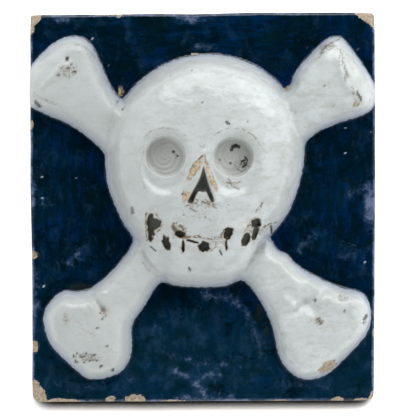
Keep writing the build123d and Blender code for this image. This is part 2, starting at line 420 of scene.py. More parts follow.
# (points along the fold, half-width, height; below zero is a valley)
folds = [
    ([(-76.8, 90.5), (-71.5, 91.7), (-64.5, 88.2)], 2.2, 1.6),
    ([(-92.5, 69.5), (-86.1, 76.5), (-79.7, 82.9)], 1.5, 1.5),
    ([(-94.9, 67.2), (-87.9, 70.7), (-80.9, 74.2)], 3.0, -1.0),
    ([(65.4, 88.8), (73.0, 94.0), (80.0, 96.9)], 1.5, 1.2),
    ([(78.8, 92.8), (80.0, 77.7), (84.7, 68.4), (89.3, 64.3)], 1.5, 1.2),
    ([(74.7, 89.3), (76.5, 76.5), (80.6, 66.6)], 2.6, -0.9),
    ([(-74.5, -51.1), (-67.5, -52.9), (-63.4, -58.1)], 1.3, 1.0),
    ([(-65.7, -49.9), (-61.0, -54.6), (-58.7, -59.3)], 1.8, -1.1),
    ([(-61.6, -48.2), (-58.1, -49.4)], 1.8, 1.2),
    ([(53.8, -60.4), (61.3, -55.2), (68.9, -49.4), (74.7, -45.9)], 2.2, -1.3),
    ([(47.4, -52.9), (52.6, -56.9)], 2.0, 1.6),
    ([(60.2, -41.2), (65.4, -46.4)], 1.5, 1.3),
    ([(66.6, -55.8), (71.2, -51.1)], 1.9, 1.6),
    ([(82.3, -50.5), (87.0, -54.0)], 2.0, 1.2),
    ([(74.2, -61.0), (82.9, -64.5)], 3.0, -0.7),
    ([(-30.7, -26.1), (-26.1, -31.9)], 2.0, 0.5),
    ([(-30.7, 82.3), (-17.9, 85.8)], 3.0, 0.4),
    ([(-49.4, 60.2), (-52.3, 49.7), (-54.6, 35.7)], 1.5, -0.6),
]
off_the_foot = smoothstep(0.5, 4.0, relief_inside)
for points_along, half_thick, height in folds:
    surface += height * bump_at(distance_to_chain(points_along), 0, half_thick) * off_the_foot
print(len(folds), "folds")

# %% [markdown]
# The two upper bone ends slope away from a crest that the potter pinched up.

# %% Crests
# (a point on the crest, its direction, fall for each mm to the left)
crests = [((-98.3, 65.4), 41.0, 0.09), ((79.8, 79.0), -80.0, 0.16)]
for crest, direction, fall in crests:
    _, beyond = along_and_across(tile_x, tile_y, *crest, direction)
    near_crest = smoothstep(42, 34, np.hypot(tile_x - crest[0], tile_y - crest[1]))
    slope = fall * smooth_max(beyond, np.zeros_like(beyond), 1.5) * near_crest
    surface -= slope * smoothstep(0, 3, relief_inside)
    print("crest falls off by", round(float(slope.max()), 1), "mm")

# %% [markdown]
# The eyes were pressed with a round tool: a shallow dish smoothed with a finger, then a
# flat-bottomed pit with a crisp rim. The tool was twisted, and left a faint swirl.

# %% Eye sockets
socket_centres = ((-21.4, 29.2), (17.6, 28.7))
pit_radius, pit_depth, pit_bowl, swirl_depth = 11.3, 7.6, 0.9, 0.14
dish_radius, dish_flat, dish_depth, dish_squeeze, dish_drop = 20.5, 14.0, 3.0, 0.82, 3.5
socket_shade = np.zeros_like(surface)
for centre_x, centre_y in socket_centres:
    radius = np.hypot(tile_x - centre_x, tile_y - centre_y)
    turn = np.arctan2(tile_y - centre_y, tile_x - centre_x)
    dish_share = np.hypot((tile_x - centre_x) / dish_squeeze, tile_y - centre_y + dish_drop)
    surface -= dish_depth * smoothstep(dish_radius, dish_flat, dish_share)
    wall = smoothstep(pit_radius + 0.5, pit_radius - 0.7, radius)
    floor_bowl = pit_bowl * (1 - np.clip(radius / pit_radius, 0, 1) ** 2)
    swirl = swirl_depth * np.sin(2.1 * radius + 1.6 * turn + 1.3 * unevenness(tile_x, tile_y, 6, 21))
    surface -= wall * (pit_depth + floor_bowl + swirl)
    socket_shade = np.maximum(socket_shade, wall)
    print("eye pit at", centre_x, centre_y, "is", pit_depth + pit_bowl, "mm deep")

# %% [markdown]
# The nose is two pinched ridges in a narrow A, with an arrow-shaped hollow cut between
# them. Each ridge grows towards its foot.

# %% Nose
bridge, ridge_half, ridge_start, ridge_growth = (0.7, 30.4), 2.2, 0.7, 1.2
hollow_depth, hollow_wall = 8.0, 1.9
for foot in ((-10.3, 3.0), (7.9, 3.0)):
    off_ridge, along_ridge = distance_to_line(tile_x, tile_y, bridge, foot)
    surface += (ridge_start + ridge_growth * along_ridge) * bump_at(off_ridge, 0, ridge_half)
nose_loop = [
    (0.3, 24.0), (-1.3, 18.8), (-3.4, 14.1), (-5.9, 9.8), (-9.1, 3.3), (-7.4, 1.9), (-5.4, 2.5),
    (-3.7, 6.4), (-2.2, 8.6), (0.1, 8.2), (1.9, 8.3), (4.2, 3.4), (5.9, 2.6), (6.9, 4.2), (4.8, 10.3),
    (3.3, 14.7), (2.0, 19.4),
]
nose_inside = distance_inside(tile_x, tile_y, smooth_curve(nose_loop, 4, closed=True))
surface -= hollow_depth * smoothstep(0.0, hollow_wall, nose_inside)
print("nose hollow is", hollow_depth, "mm deep")

# %% [markdown]
# The tooth gaps were stabbed with a modelling tool along a smiling line. Each is a rounded
# box, (|u|^2.4 + |v|^2.4)^(1/2.4) below 1, with a torn edge.

# %% Tooth gaps
# (x, y, long side, short side, turn, depth)
tooth_gaps = [
    (-29.8, -10.4, 14.2, 4.0, 93, 3.4), (-30.2, -16.4, 8.0, 2.4, 94, 3.0),
    (-27.2, -9.6, 6.0, 5.6, 60, 3.4), (-21.0, -20.8, 8.4, 4.2, 104, 3.4),
    (-16.2, -12.4, 5.6, 2.6, 125, 1.6), (-13.4, -15.3, 6.4, 4.4, -12, 3.6),
    (-11.3, -22.6, 7.2, 1.7, 92, 3.0), (-6.0, -19.6, 8.0, 1.4, -14, 2.2),
    (0.7, -22.8, 6.4, 5.9, 0, 3.8), (14.6, -14.8, 7.4, 4.8, 68, 3.6), (13.4, -22.0, 6.2, 1.4, 94, 2.4),
    (24.8, -18.7, 7.4, 4.0, 74, 3.4), (30.8, -9.2, 6.2, 5.4, 90, 3.6), (30.2, -15.0, 8.0, 3.0, 76, 3.4),
]
gap_roundness, gap_tear = 2.4, 0.22
gap_shade = np.zeros_like(surface)
gap_depth = np.zeros_like(surface)
torn = unevenness(tile_x, tile_y, 1.4, 31)
for centre_x, centre_y, long_side, short_side, turn, depth in tooth_gaps:
    along, across = along_and_across(tile_x, tile_y, centre_x, centre_y, turn)
    box = np.abs(along * 2 / long_side) ** gap_roundness + np.abs(across * 2 / short_side) ** gap_roundness
    share = box ** (1 / gap_roundness) + gap_tear * torn
    gap_depth = np.maximum(gap_depth, depth * smoothstep(1.2, 0.55, share))
    gap_shade = np.maximum(gap_shade, smoothstep(1.25, 0.8, share) * min(1, depth / 3))
surface -= gap_depth
print(len(tooth_gaps), "tooth gaps, the deepest", round(float(gap_depth.max()), 1), "mm")

# %% [markdown]
# Time has knocked the corners about. Each corner chip is a slanting break that shows the
# bare body under the glaze.

# %% Corner chips
break_tear, break_grain = 0.12, 0.15
bare = np.zeros_like(surface)
ragged = unevenness(tile_x, tile_y, 1.5, 41) * 0.6 + unevenness(tile_x, tile_y, 3.5, 42) * 0.4
# (corner, reach along x, reach along y, depth, fullness)
corner_chips = [
    ((-1, 1), 6.4, 8.0, 3.2, 1.5),
    ((1, 1), 12.5, 9.6, 4.2, 1.0),
    ((-1, -1), 9.0, 13.6, 4.0, 1.6),
    ((1, -1), 3.4, 6.4, 2.4, 1.5),
]
for (side, end), along_x, along_y, depth, fullness in corner_chips:
    reach_x = np.clip((half_width - side * square_x) / along_x, 0, None)
    reach_y = np.clip((half_height - end * square_y) / along_y, 0, None)
    share = 1 - (reach_x**fullness + reach_y**fullness) ** (1 / fullness) + break_tear * ragged
    broken = np.minimum(surface, ground - depth * share + break_grain * ragged)
    surface = np.where(share > 0, broken, surface)
    bare = np.maximum(bare, smoothstep(-0.03, 0.03, share))
print(len(corner_chips), "corner chips")

# %% [markdown]
# Along the edges the glaze has come off in flakes, each a shallow ragged scoop. Beside the
# nose it has crawled off the ridges and left tan clay. Where marks overlap, the strongest
# one counts.


# %% Flakes and scraped clay
def strongest(masks):
    """The greatest of many fields at each point."""
    return np.max(list(masks), axis=0)


def oval_share(centre_x, centre_y, half_long, half_short, turn=0):
    """How far out the skin's points lie in a turned oval: 0 in its middle, 1 on its edge."""
    along, across = along_and_across(tile_x, tile_y, centre_x, centre_y, turn)
    return np.hypot(along / half_long, across / half_short)


# (x, y, half-length, half-width, turn, depth)
flakes = [
    (-100.0, 103.5, 1.8, 2.6, 0, 0.5), (-58.5, 113.0, 16.0, 1.2, 0, 0.5),
    (-48.7, 112.4, 1.6, 1.9, 0, 1.2), (-6.0, 113.6, 7.5, 1.1, 0, 0.4), (-99.9, 48.0, 1.2, 2.4, 0, 0.4),
    (-99.4, -27.7, 3.0, 2.4, 0, 1.4), (-98.8, -80.6, 2.9, 3.7, 0, 1.8),
    (-80.9, -113.1, 9.6, 1.5, 0, 1.0), (-54.3, -112.6, 3.4, 2.6, 0, 1.0),
    (-40.0, -112.4, 5.6, 3.3, 0, 1.4), (-18.0, -113.2, 7.0, 1.0, 0, 0.8),
    (45.0, -112.9, 6.5, 0.9, 0, 0.6), (78.4, -112.5, 3.4, 1.9, 0, 0.9),
    (93.0, -112.9, 6.4, 1.5, 0, 0.9), (99.9, -73.0, 1.2, 2.2, 0, 0.5), (-4.6, 89.2, 2.6, 0.7, 10, 0.2),
    (72.5, -92.6, 4.6, 3.0, 25, 0.5), (-57.5, -59.4, 1.3, 1.5, 0, 0.4), (89.0, 59.6, 1.7, 1.7, 0, 0.3),
]
flake_tear = 0.35
for *oval, depth in flakes:
    share = oval_share(*oval) + flake_tear * ragged
    surface -= depth * smoothstep(1.1, 0.75, share)
    bare = np.maximum(bare, smoothstep(1.08, 0.95, share))

# (x, y, half-length, half-width, turn)
scraped_places = [
    (-4.4, 21.8, 7.0, 2.2, 58), (-9.8, 6.2, 3.6, 1.9, 60), (3.6, 19.4, 9.0, 1.2, 105),
    (6.6, 12.8, 4.0, 1.6, 112), (-47.8, 67.6, 1.5, 2.9, 5), (49.2, 69.2, 1.8, 1.2, 30),
]
scrape_depth, scrape_tear = 0.12, 0.3
scraped = strongest(
    smoothstep(1.15, 0.8, oval_share(*oval) + scrape_tear * ragged) for oval in scraped_places
)
surface -= scrape_depth * scraped
print(len(flakes), "flakes and", len(scraped_places), "scraped places")

# %% [markdown]
# Gas bubbles burst in the glaze and left pinholes, which have filled with dirt. Some ran
# together into short dashes.

# %% Pinholes and dashes
# (x, y, half-width, darkness)
dots = [
    (-78.4, 85.7, 1.1, 0.95), (-76.0, 82.4, 0.5, 0.8), (-77.4, 80.4, 0.5, 0.7), (75.3, 59.0, 0.4, 0.5),
    (70.1, 70.1, 0.4, 0.6), (-0.4, 60.2, 0.4, 0.5), (25.8, 49.1, 0.4, 0.4), (-46.5, 56.7, 0.5, 0.6),
    (53.8, 55.0, 0.4, 0.5), (-18.5, 75.4, 0.4, 0.4), (-6.3, 78.9, 0.35, 0.4), (23.5, 78.9, 0.35, 0.4),
    (-16.9, 32.0, 0.75, 0.95), (-14.5, 29.6, 0.55, 0.7), (15.9, 25.4, 0.55, 0.7),
    (23.9, 25.4, 0.7, 0.55), (26.4, 23.6, 0.4, 0.45), (9.8, 27.3, 0.5, 0.4), (-72.7, -84.3, 0.5, 0.75),
    (-67.5, -84.9, 0.5, 0.8), (-62.8, -85.5, 0.6, 0.9), (-68.6, -89.6, 0.5, 0.8),
    (-65.1, -88.6, 0.5, 0.75), (-61.0, -88.4, 0.5, 0.75), (-61.0, -69.8, 0.6, 0.85),
    (-58.1, -64.5, 0.5, 0.8), (-52.3, -94.4, 0.7, 0.95), (-55.4, -80.2, 0.5, 0.8),
    (93.2, -67.0, 0.7, 1.0), (82.0, -60.0, 0.6, 0.85), (-11.5, 7.5, 0.6, 0.8), (1.3, -5.7, 0.35, 0.5),
    (14.7, 1.3, 0.35, 0.4), (-10.9, -4.5, 0.35, 0.5),
]
# (start x, start y, end x, end y, half-width, darkness)
dashes = [
    (-74.4, 78.5, -73.4, 78.0, 0.6, 0.8), (-83.6, 76.6, -83.0, 76.0, 0.6, 0.75),
    (-97.0, 61.0, -94.6, 58.6, 0.8, 1.0), (89.2, 66.4, 91.6, 62.4, 0.6, 0.9),
    (68.3, 89.3, 71.8, 94.0, 0.4, 0.4), (80.6, 84.7, 83.5, 75.4, 0.35, 0.35),
    (13.6, 48.8, 15.0, 47.7, 0.6, 0.85), (-8.0, -35.1, -7.1, -36.5, 0.5, 0.7),
    (9.8, -24.9, 10.9, -27.2, 0.45, 0.7), (-30.2, -22.6, -27.2, -25.2, 0.35, 0.6),
    (-40.8, -0.4, -40.5, -3.3, 0.8, 0.45), (16.5, 33.1, 17.3, 34.9, 0.8, 1.0),
    (17.3, 34.9, 19.1, 35.6, 0.9, 1.0), (19.1, 35.6, 20.8, 34.9, 0.8, 1.0),
    (24.4, 29.0, 25.7, 27.1, 0.5, 0.6), (25.7, 27.1, 25.0, 24.5, 0.4, 0.5),
    (25.0, 24.5, 23.1, 23.2, 0.6, 0.65), (21.8, 24.5, 22.5, 26.4, 0.35, 0.45),
    (22.5, 26.4, 24.0, 27.1, 0.6, 0.6), (18.6, 24.5, 19.9, 21.9, 0.3, 0.3),
    (19.9, 21.9, 22.5, 20.6, 0.35, 0.35), (22.5, 20.6, 24.4, 21.9, 0.3, 0.3),
    (-75.0, -85.5, -74.4, -86.4, 0.5, 0.85), (-70.4, -86.1, -69.8, -86.6, 0.5, 0.85),
    (-73.9, -89.0, -73.2, -89.6, 0.5, 0.85), (-59.6, -92.3, -58.2, -91.7, 0.5, 0.8),
    (95.2, -62.6, 93.8, -64.8, 0.75, 1.0), (66.3, -65.1, 68.0, -66.8, 0.5, 0.7),
    (64.8, -53.4, 65.3, -54.0, 0.5, 0.8), (39.5, -10.9, 40.1, -15.0, 0.5, 0.6),
    (-50.0, 62.0, -49.1, 60.5, 0.4, 0.4), (-7.4, -0.4, -3.9, -2.7, 0.35, 0.4),
]
pinhole_depth, deepening, dot_length = 0.2, 1.7, 0.01
marks = dashes + [(x, y, x, y, half, darkness) for x, y, half, darkness in dots]
pinholes = strongest(
    darkness * smoothstep(half + 0.4, half - 0.25, distance_to_chain([(x, y), (end_x + dot_length, end_y)]))
    for x, y, end_x, end_y, half, darkness in marks
)
pinholes = np.clip(deepening * pinholes, 0, 1)
surface -= pinhole_depth * pinholes
print(len(dots), "pinholes and", len(dashes), "dashes")

# %% [markdown]
# Dirt has settled in the rough places: between the teeth, under the nose and on the bone
# ends. Each zone is a soft oval, which the material breaks up into specks.

# %% Dirt
# (x, y, half-length, half-width, strength)
dirt_zones = [
    (-29.6, -10.9, 6.4, 9.9, 0.9), (-13.3, -13.2, 7.0, 7.0, 0.9), (7.1, -19.1, 8.2, 4.7, 0.8),
    (28.7, -13.2, 7.6, 9.3, 0.95), (-10.3, 6.6, 3.5, 4.7, 0.9), (-1.0, 1.3, 10.5, 2.9, 0.8),
    (-26.1, 22.9, 12.8, 3.5, 0.35), (-47.1, 46.2, 8.2, 15.2, 0.35), (-71.0, -46.4, 10.5, 3.5, 1.3),
    (32.8, -61.0, 2.9, 8.7, 1.1), (36.9, -72.1, 2.3, 7.0, 0.9), (-78.0, 79.0, 8.2, 5.8, 0.85),
    (-83.2, 74.2, 15.2, 15.2, 0.3), (73.0, 92.8, 7.4, 3.5, 0.9), (79.2, 85.0, 2.0, 4.6, 0.8),
    (82.6, 74.8, 2.2, 4.6, 0.9), (87.2, 66.8, 2.2, 3.6, 0.95), (-47.6, 67.8, 2.3, 3.5, 1.3),
    (49.1, 69.5, 2.3, 2.3, 1.2), (-79.0, -64.5, 3.2, 5.2, 0.85), (-67.0, -86.8, 9.9, 4.4, 0.95),
    (-64.5, -74.4, 15.2, 11.7, 0.25), (68.3, -68.6, 9.3, 9.3, 0.4), (67.2, -65.7, 4.4, 4.1, 1.05),
    (94.0, -65.7, 2.3, 4.7, 1.0), (81.2, -52.6, 4.4, 3.5, 0.85), (-1.6, -2.7, 25.7, 12.8, 0.5),
    (-27.2, -12.1, 9.3, 11.7, 0.6), (-1.6, -19.1, 23.3, 9.3, 0.45), (32.2, -14.4, 10.5, 12.8, 0.65),
    (-4.5, 89.3, 4.1, 1.7, 1.1), (-0.1, 35.4, 3.5, 2.9, 0.75), (16.5, 13.0, 5.8, 4.1, 0.6),
    (-20.8, 32.2, 9.9, 8.2, 0.4), (22.0, 25.0, 6.4, 5.8, 0.6), (-36.0, 24.7, 8.2, 19.8, 0.35),
    (34.5, 24.7, 7.0, 19.8, 0.4), (-1.6, 50.9, 46.6, 17.5, 0.15), (-57.6, -61.0, 4.1, 5.2, 1.0),
    (-96.0, 61.4, 4.7, 3.5, 0.5), (77.1, 62.5, 12.8, 10.5, 0.3), (88.7, 60.8, 4.7, 4.7, 0.55),
    (-91.0, 87.0, 9.3, 8.2, 0.35),
]
dirt_tear = 0.35
dirt = strongest(
    strength * smoothstep(1.25, 0.3, oval_share(*oval) + dirt_tear * ragged) for *oval, strength in dirt_zones
)
print(len(dirt_zones), "dirt zones")

# %% [markdown]
# Fine cracks and scratches have gone brown. The ragged field keeps them from being ruled.

# %% Scratches and brown lines
# (points along the line, half-width, strength)
scratches = [
    ([(-32.5, -3.3), (-32.8, -10.9), (-32.2, -19.1)], 0.5, 0.7),
    ([(-26.7, -3.9), (-23.7, -8.6), (-24.3, -12.6), (-26.7, -14.4)], 0.5, 0.6),
    ([(-17.0, -9.1), (-14.4, -8.6), (-10.6, -13.8)], 0.5, 0.9),
    ([(-16.8, -9.7), (-15.0, -15.6), (-11.5, -17.9)], 0.4, 0.8),
    ([(-10.9, -17.3), (-2.8, -16.7), (3.6, -18.5), (10.6, -16.7), (12.4, -13.2)], 0.7, 0.75),
    ([(-12.7, -22.6), (-11.8, -26.6)], 0.5, 0.5),
    ([(-1.6, -24.9), (4.2, -25.5), (7.7, -22.6)], 0.5, 0.5),
    ([(22.3, -19.6), (24.6, -13.2), (28.7, -8.0)], 0.5, 0.8),
    ([(31.6, -15.0), (36.9, -10.3), (42.7, -8.6)], 0.5, 0.75),
    ([(30.5, -2.7), (34.5, 3.1), (32.8, -1.0)], 0.5, 0.6),
    ([(-3.9, 4.3), (1.9, 2.5), (7.7, -0.4)], 0.4, 0.7),
    ([(0.7, 4.8), (6.6, 1.3)], 0.4, 0.6),
    ([(-9.8, 0.8), (-3.9, 2.5)], 0.5, 0.6),
    ([(11.8, 14.7), (16.5, 13.6), (21.7, 14.7)], 0.5, 0.6),
    ([(14.7, 16.5), (17.6, 11.8), (21.1, 10.1)], 0.4, 0.6),
    ([(-8.6, 16.5), (-5.7, 24.1), (0.1, 29.9)], 0.45, 0.8),
    ([(0.7, 29.9), (5.4, 18.8), (8.3, 9.5)], 0.45, 0.6),
    ([(-36.0, 36.9), (-30.7, 43.3), (-23.2, 45.6), (-15.0, 44.5), (-8.0, 39.8)], 0.4, 0.45),
    ([(6.6, 41.6), (13.6, 45.1), (22.3, 45.1), (29.3, 41.0), (34.5, 33.4)], 0.4, 0.45),
    ([(-33.7, 33.4), (-36.6, 21.7), (-33.1, 10.1)], 0.45, 0.35),
    ([(-46.5, 62.0), (-50.6, 51.5), (-53.5, 38.6), (-53.5, 24.7)], 0.45, 0.2),
    ([(-47.6, 63.7), (-52.9, 50.9), (-55.8, 36.3), (-57.6, 28.7)], 0.45, 0.22),
    ([(-52.3, 20.6), (-48.8, 1.3), (-41.8, -16.7)], 0.5, 0.2),
    ([(67.2, 87.0), (73.6, 94.6), (80.0, 98.1)], 0.5, 0.6),
    ([(79.4, 91.7), (83.5, 77.7), (87.0, 66.0)], 0.5, 0.5),
    ([(75.9, 94.6), (82.3, 85.8)], 0.4, 0.45),
    ([(-74.5, 94.5), (-69.0, 93.2), (-64.6, 89.8), (-62.7, 86.9)], 0.45, 0.5),
    ([(-72.0, 90.0), (-66.5, 89.0), (-63.5, 84.5)], 0.4, 0.45),
    ([(-82.0, 58.5), (-90.0, 61.5), (-97.5, 66.0)], 0.45, 0.4),
    ([(-34.8, -31.9), (-31.3, -36.5), (-26.1, -40.0)], 0.4, 0.4),
    ([(38.0, -15.6), (34.5, -24.9), (27.5, -37.7)], 0.4, 0.2),
    ([(-26.1, 55.0), (-1.6, 57.3), (23.5, 55.5)], 0.35, 0.18),
    ([(-77.5, -62.5), (-72.0, -66.0), (-69.0, -71.0), (-62.0, -74.0)], 0.35, 0.35),
    ([(-72.0, -57.0), (-68.0, -62.0), (-66.5, -68.0)], 0.35, 0.3),
    ([(58.0, -61.5), (62.5, -64.0), (66.0, -69.5), (71.5, -71.0)], 0.35, 0.35),
    ([(60.5, -67.0), (68.5, -63.0), (75.0, -62.5)], 0.35, 0.3),
    ([(70.0, -90.3), (73.4, -89.2), (76.2, -89.3), (77.2, -91.2)], 0.5, 0.9),
    ([(67.6, -94.2), (68.0, -96.0), (70.4, -96.4)], 0.4, 0.6),
    ([(58.5, -89.8), (60.2, -91.4), (62.5, -91.9)], 0.35, 0.5),
    ([(-19.1, 50.3), (5.4, 52.0), (27.5, 49.7)], 0.35, 0.16),
]
scratch_depth, scratch_tear = 0.15, 0.3
brown_lines = strongest(
    strength * smoothstep(half + 0.5, half - 0.3, distance_to_chain(points_along) + scratch_tear * ragged)
    for points_along, half, strength in scratches
)
surface -= scratch_depth * brown_lines
print(len(scratches), "brown lines")

# %% [markdown]
# Grit caught in the wet blue shines as single bright specks.

# %% Specks of dust on the blue
dust_specks = [
    (-64.5, 98.1), (-54.6, 82.3), (61.3, 93.4), (89.9, 92.3), (82.9, 46.2), (82.9, 31.6),
    (-92.5, -45.9), (94.6, -31.9), (-93.7, 17.7), (-73.3, 17.1), (-93.7, 5.4), (0.7, -108.8),
]
dust_strength, dust_reach = 0.9, 0.6
dust = strongest(
    dust_strength * smoothstep(dust_reach, 0.1, np.hypot(tile_x - x, tile_y - y)) for x, y in dust_specks
)
print(len(dust_specks), "specks of dust")

# %% [markdown]
# Last, the arris rounds over and nothing may stand above the CAD box. The top then gets
# its side walls and its flat back, so the piece is one closed skin.

# %% Finish the heights
arris_drop, arris_width = 1.3, 1.9
surface -= arris_drop * np.clip(1 - from_rim / arris_width, 0, 1) ** 2.2
surface = np.minimum(surface, total_height)
print("surface from", round(float(surface.min()), 1), "to", round(float(surface.max()), 1), "mm")


# %% Make the closed skin
def border(field):
    """The values round the grid's edge, once round, starting at its lowest left corner."""
    return np.concatenate([field[0, :-1], field[:-1, -1], field[-1, :0:-1], field[:0:-1, 0]])


def ring_faces(first, second, count):
    """Four-sided faces between two rings of the same count, given each ring's vertex numbers."""
    ahead = np.roll(np.arange(count), -1)
    return np.column_stack([first, second, second[ahead], first[ahead]])


rows, columns = surface.shape
number = np.arange(rows * columns).reshape(rows, columns)
corners = (number[:-1, :-1], number[:-1, 1:], number[1:, 1:], number[1:, :-1])
edge_x, edge_y, edge_z, edge_numbers = (border(field) for field in (tile_x, tile_y, surface, number))
count = len(edge_x)
points = [np.column_stack([tile_x.ravel(), tile_y.ravel(), surface.ravel()])]
faces = [np.column_stack([corner.ravel() for corner in corners])]
previous = edge_numbers
# (share of the height, drawn in by so many mm): the side wall, then rings on the flat back
wall_levels = [
    (0.93, 0.25), (0.66, 0.5), (0.33, 0.45), (0.05, 0.3), (0.0, 1.1), (0.0, 1.9), (0.0, 25.0), (0.0, 80.0)
]
for level, draw_in in wall_levels:
    on_the_wall = 0 < level < 0.9
    waver = side_waver * unevenness(edge_x + edge_y, edge_z * 0 + level * 60, 5, 51) if on_the_wall else 0
    shrink_x = 1 - (draw_in + waver) / half_width
    shrink_y = 1 - (draw_in + waver) / half_height
    ring_numbers = np.arange(count) + sum(len(part) for part in points)
    points.append(np.column_stack([edge_x * shrink_x, edge_y * shrink_y, edge_z * level]))
    faces.append(ring_faces(previous, ring_numbers, count))
    previous = ring_numbers
vertices = np.vstack(points) / millimetres
quads = [tuple(face) for face in np.vstack(faces).tolist()]
back_cap = tuple(previous[::-1].tolist())

skin_mesh = bpy.data.meshes.new("glazed_tile")
skin_mesh.from_pydata(vertices.tolist(), [], quads + [back_cap])
skin_mesh.update()
glazed_tile = bpy.data.objects.new("glazed_tile", skin_mesh)
bpy.context.scene.collection.objects.link(glazed_tile)
print("skin", len(vertices), "vertices", len(quads) * 2 + count - 2, "triangles")

# %% [markdown]
# Where the blue was thin, it let the white through, in oval patches and in long veins
# between two strokes of the brush.

# %% Where the blue is thin
# (x, y, half-length, half-width, strength)
thin_patches = [
    (-82.0, 109.2, 7.0, 3.5, 0.8), (-7.4, 109.7, 12.8, 3.5, 0.9), (0.1, 93.4, 8.7, 3.5, 0.75),
    (97.5, 0.8, 5.2, 16.3, 1.1), (88.1, 8.9, 6.4, 5.2, 0.55), (-99.5, 6.6, 2.9, 12.8, 1.0),
    (-92.5, 4.3, 5.2, 7.6, 0.5), (-97.8, -60.4, 2.3, 12.8, 0.8), (84.7, -25.5, 8.2, 7.0, 0.55),
    (60.2, -20.8, 7.0, 4.7, 0.45), (59.6, -103.6, 9.3, 3.5, 0.5), (-70.4, -104.7, 8.2, 2.9, 0.5),
    (-42.4, -100.6, 5.8, 3.5, 0.45), (-13.3, -64.5, 14.0, 8.2, 0.35), (94.6, -71.5, 3.5, 12.8, 0.4),
]
# (points along the vein, half-width, strength)
thin_veins = [
    ([(0.1, -49.9), (8.9, -51.7), (18.2, -54.0)], 2.2, 0.85),
    ([(20.0, -55.8), (26.4, -63.4), (31.0, -73.8), (33.9, -84.9)], 1.2, 0.8),
    ([(-15.6, -95.4), (-9.8, -98.9), (-3.9, -101.8), (2.5, -98.3), (10.1, -97.2)], 1.8, 0.9),
    ([(-3.9, -101.8), (-1.0, -106.5), (1.9, -111.1)], 1.5, 1.0),
    ([(-15.0, -111.1), (17.0, -111.7)], 1.2, 0.9),
    ([(-24.9, -83.2), (-14.4, -87.2), (-0.4, -90.7), (20.5, -91.9)], 1.8, 0.6),
    ([(-78.5, -32.5), (-75.0, -30.1), (-71.5, -26.6)], 1.2, 0.8),
    ([(56.1, -24.3), (60.2, -20.8), (65.4, -16.1)], 1.5, 0.7),
    ([(-30.7, -73.8), (-21.4, -66.8), (-9.8, -65.7)], 2.0, 0.5),
    ([(-86.1, -103.6), (-74.5, -105.3), (-57.0, -104.1)], 1.5, 0.6),
    ([(-98.6, -36.0), (-96.4, -43.0), (-98.4, -50.5), (-96.2, -58.0)], 0.6, 0.8),
    ([(48.5, -103.0), (59.6, -102.4), (71.8, -104.1)], 1.8, 0.6),
]
patches = strongest(strength * smoothstep(1.5, 0.0, oval_share(*oval)) for *oval, strength in thin_patches)
vein_strength, vein_softness, vein_tear = 0.88, 5.0, 1.4
veins = strongest(
    vein_strength * strength
    * smoothstep(half + vein_softness, -1.5, distance_to_chain(points_along) + vein_tear * ragged)
    for points_along, half, strength in thin_veins
)
thin_blue = np.maximum(patches, veins)
print(len(thin_patches), "thin patches and", len(thin_veins), "veins")

# %% [markdown]
# The paint needs to know where it is, so each vertex carries a few plain numbers: how far
# inside the relief it is, how bare the clay is, how dark a hollow, how thin the blue.


# %% Numbers for the painter
def carry(name, top_field, elsewhere):
    """Stores one number per vertex: the grid's own values, then one value for walls and back."""
    values = np.full(len(vertices), elsewhere, dtype=np.float32)
    values[: top_field.size] = top_field.ravel()
    skin_mesh.attributes.new(name, "FLOAT", "POINT").data.foreach_set("value", values)


above_the_skull = smoothstep(45, 75, tile_y) * smoothstep(75, 45, np.abs(tile_x))
sideways = above_the_skull + smoothstep(-70, -95, tile_y)
painter_numbers = {
    "inside_relief": (relief_inside, -40.0),
    "bare_clay": (bare, 1.0),
    "scraped": (scraped, 0.0),
    "socket": (socket_shade, 0.0),
    "nose_hollow": (smoothstep(-0.3, 1.2, nose_inside), 0.0),
    "tooth_gap": (gap_shade, 0.0),
    "thin_blue": (thin_blue, 0.0),
    "pinholes": (pinholes, 0.0),
    "dirt": (dirt, 0.0),
    "brown_lines": (brown_lines, 0.0),
    "dust": (dust, 0.0),
    "sideways_strokes": (np.clip(sideways, 0, 1), 0.0),
    "from_rim": (from_rim, -3.0),
}
for name, (top_field, elsewhere) in painter_numbers.items():
    carry(name, top_field, elsewhere)
skin_mesh.shade_smooth()
print("each vertex carries", len(painter_numbers), "numbers")

# %% [markdown]
# The glaze is one material, as it is one skin on the real tile. White tin glaze is a
# dense grey-white with a wet gloss. Cobalt was brushed on over it, so the blue keeps the
# strokes. Where glaze is missing, the body is a dry buff clay. Every step mixes one of
# these over the last, steered by the numbers the mesh carries.


# %% Helpers that place nodes
def add_node(kind, sockets=(), **settings):
    """Adds a node to the tree at hand, sets its options, and fills or links its sockets."""
    node = tree.nodes.new("ShaderNode" + kind)
    for name, value in settings.items():
        setattr(node, name, value)
    for name, value in dict(sockets).items():
        if isinstance(value, bpy.types.NodeSocket):
            tree.links.new(value, node.inputs[name])
        else:
            node.inputs[name].default_value = value
    return node


def calculate(operation, first, second, third=0.5):
    """One arithmetic step between two values, or three."""
    return add_node("Math", {0: first, 1: second, 2: third}, operation=operation).outputs[0]


def times(first, second):
    """The product of two values."""
    return calculate("MULTIPLY", first, second)


def plus(first, second):
    """The sum of two values."""
    return calculate("ADD", first, second)


def between(value, low, high, to_low=0.0, to_high=1.0):
    """Maps a stretch of values smoothly onto another."""
    sockets = {"Value": value, "From Min": low, "From Max": high, "To Min": to_low, "To Max": to_high}
    return add_node("MapRange", sockets, interpolation_type="SMOOTHSTEP").outputs[0]


def blend_values(share, first, second):
    """A value that share of the way from the first to the second."""
    return add_node("Mix", {"Factor": share, 2: first, 3: second}, data_type="FLOAT").outputs[0]


def along_axis(place, axis):
    """One coordinate of a place."""
    return add_node("SeparateXYZ", {0: place}).outputs[axis]



# %% Helpers that paint
def number_on_mesh(name):
    """Reads a number that the mesh carries."""
    return add_node("Attribute", attribute_name=name).outputs["Fac"]


